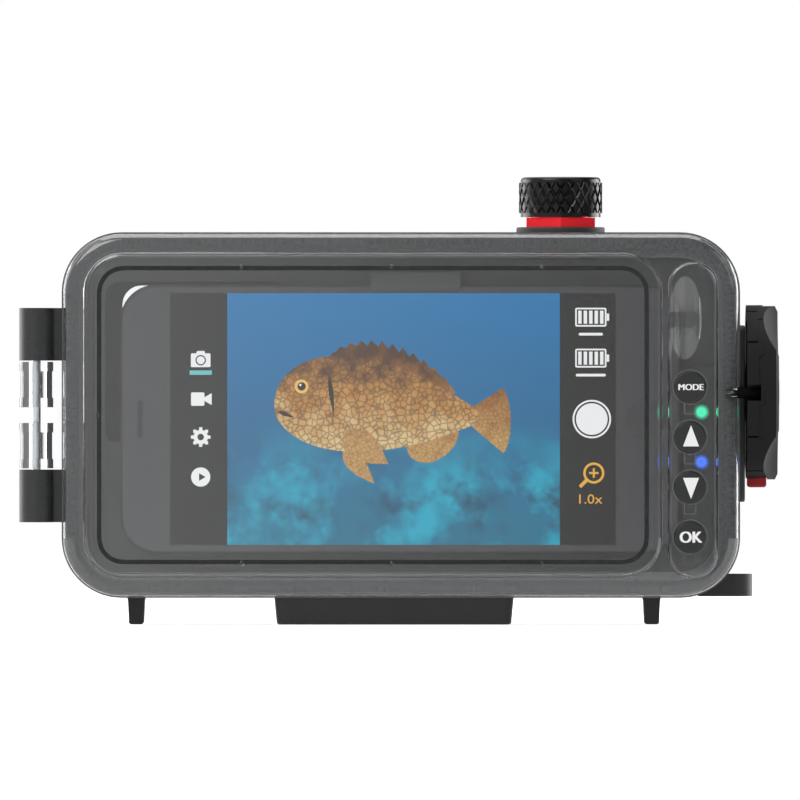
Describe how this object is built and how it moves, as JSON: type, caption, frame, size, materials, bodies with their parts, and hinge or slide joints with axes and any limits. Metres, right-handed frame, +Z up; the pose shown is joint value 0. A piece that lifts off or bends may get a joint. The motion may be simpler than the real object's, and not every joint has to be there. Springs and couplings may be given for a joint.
{
  "type": "waterproof phone case",
  "caption": "Rigid underwater housing for a phone, with a clear hinged door, cam latch dial, push buttons, vacuum valve cap, lens window and tripod shoe.",
  "frame": {"origin": "mouth of the tripod socket, in the flat underside of the tripod shoe", "axes": "+Z up, -Y towards the person who looks at the screen, +X to their right"},
  "size_m": [0.2095, 0.0552, 0.1234],
  "materials": {
    "shell": "fine satin black moulding",
    "clear": "clear polycarbonate",
    "lens_glass": "polished",
    "seal": "matt silicone",
    "steel": "stainless",
    "dark_steel": "blackened",
    "dial": "semi-gloss black",
    "red": "red anodised",
    "red_plastic": "dark red",
    "knob": "black anodised",
    "button": "satin black",
    "tray": "matt",
    "phone_metal": "bead-blasted grey",
    "phone_glass": "black polished",
    "board": "solder mask",
    "switch": "matt",
    "green_light": "lit",
    "blue_light": "lit",
    "cell": "plain sleeve",
    "brass": "turned"
  },
  "bodies": {
    "housing": {"front_shell": "shell", "feet": "shell", "lanyard_lug": "shell", "hinge_pin": "steel", "latch_plate": "shell", "latch_plate_screws": "dark_steel", "dial_spindle": "dark_steel", "valve_washer": "seal", "valve_body": "red", "valve_nut": "brass", "lens_window": "lens_glass", "lens_gasket": "seal", "lens_frame": "shell", "lens_frame_screws": "steel", "phone_tray": "tray", "tray_screws": "dark_steel", "tray_pads": "seal", "phone_bumpers": "seal", "phone_clamp": "tray", "phone_case": "phone_metal", "phone_glass": "phone_glass", "phone_home_button": "button", "phone_camera": "phone_glass", "control_board": "board", "board_switches": "switch", "led_green": "green_light", "led_blue": "blue_light", "battery_cells": "cell", "battery_holder": "tray", "lever_pin": "steel", "plunger_spring": "steel", "shutter_switch": "switch", "tripod_shoe": "shell", "tripod_insert": "brass", "shoe_screws": "steel"},
    "door": {"door": "clear", "door_seal": "seal", "keeper_pin": "dark_steel", "button_seals": "seal", "spring_mode": "steel", "spring_up": "steel", "spring_down": "steel", "spring_ok": "steel"},
    "button_mode": {"button_mode": "button", "clip_mode": "steel"},
    "button_up": {"button_up": "button", "clip_up": "steel"},
    "button_down": {"button_down": "button", "clip_down": "steel"},
    "button_ok": {"button_ok": "button", "clip_ok": "steel"},
    "latch_dial": {"latch_dial": "dial", "lock_spring": "steel"},
    "lock_button": {"lock_button": "red_plastic"},
    "cap_seal": {"cap_seal": "seal"},
    "valve_cap": {"valve_cap": "knob"},
    "shutter_lever": {"shutter_lever": "shell"},
    "shutter_plunger": {"shutter_plunger": "steel"}
  },
  "joints": [
    {"name": "door_swing", "type": "hinge", "parent": "housing", "child": "door", "pos_m": [-0.0985, -0.014, 0.05775], "axis": [0, 0, -1], "range_deg": [0, 150]},
    {"name": "press_mode", "type": "slide", "parent": "door", "child": "button_mode", "axis": [0, 1, 0], "range_m": [0, 0.0012], "stiffness_N_per_m": 1500, "springref_m": -0.001, "deforming": ["spring_mode"]},
    {"name": "press_up", "type": "slide", "parent": "door", "child": "button_up", "axis": [0, 1, 0], "range_m": [0, 0.0012], "stiffness_N_per_m": 1500, "springref_m": -0.001, "deforming": ["spring_up"]},
    {"name": "press_down", "type": "slide", "parent": "door", "child": "button_down", "axis": [0, 1, 0], "range_m": [0, 0.0012], "stiffness_N_per_m": 1500, "springref_m": -0.001, "deforming": ["spring_down"]},
    {"name": "press_ok", "type": "slide", "parent": "door", "child": "button_ok", "axis": [0, 1, 0], "range_m": [0, 0.0012], "stiffness_N_per_m": 1500, "springref_m": -0.001, "deforming": ["spring_ok"]},
    {"name": "dial_turn", "type": "hinge", "parent": "housing", "child": "latch_dial", "pos_m": [0.1, 0, 0.0639], "axis": [1, 0, 0], "range_deg": [0, 95]},
    {"name": "lock_slide", "type": "slide", "parent": "latch_dial", "child": "lock_button", "axis": [0, 0, 1], "range_m": [0, 0.0015], "stiffness_N_per_m": 800, "springref_m": -0.002, "deforming": ["lock_spring"]},
    {"name": "cap_lift", "type": "slide", "parent": "housing", "child": "cap_seal", "axis": [0, 0, 1], "range_m": [0, 0.003]},
    {"name": "cap_turn", "type": "hinge", "parent": "cap_seal", "child": "valve_cap", "pos_m": [0.046, 0.0005, 0.118], "axis": [0, 0, 1], "range_deg": [0, 1080]},
    {"name": "lever_turn", "type": "hinge", "parent": "housing", "child": "shutter_lever", "pos_m": [0.024, 0.021, 0.091], "axis": [0, 0, -1], "range_deg": [0, 6], "stiffness_Nm_per_rad": 0.3, "springref_deg": -5.73},
    {"name": "plunger_slide", "type": "slide", "parent": "housing", "child": "shutter_plunger", "axis": [0, -1, 0], "range_m": [0, 0.0019], "stiffness_N_per_m": 600, "springref_m": -0.001, "deforming": ["plunger_spring"]}
  ],
  "couplings": [
    {"joint": "cap_turn", "follows": "cap_lift", "rad_per_m": 6283.2},
    {"joint": "lever_turn", "follows": "plunger_slide", "rad_per_m": 55.096}
  ]
}
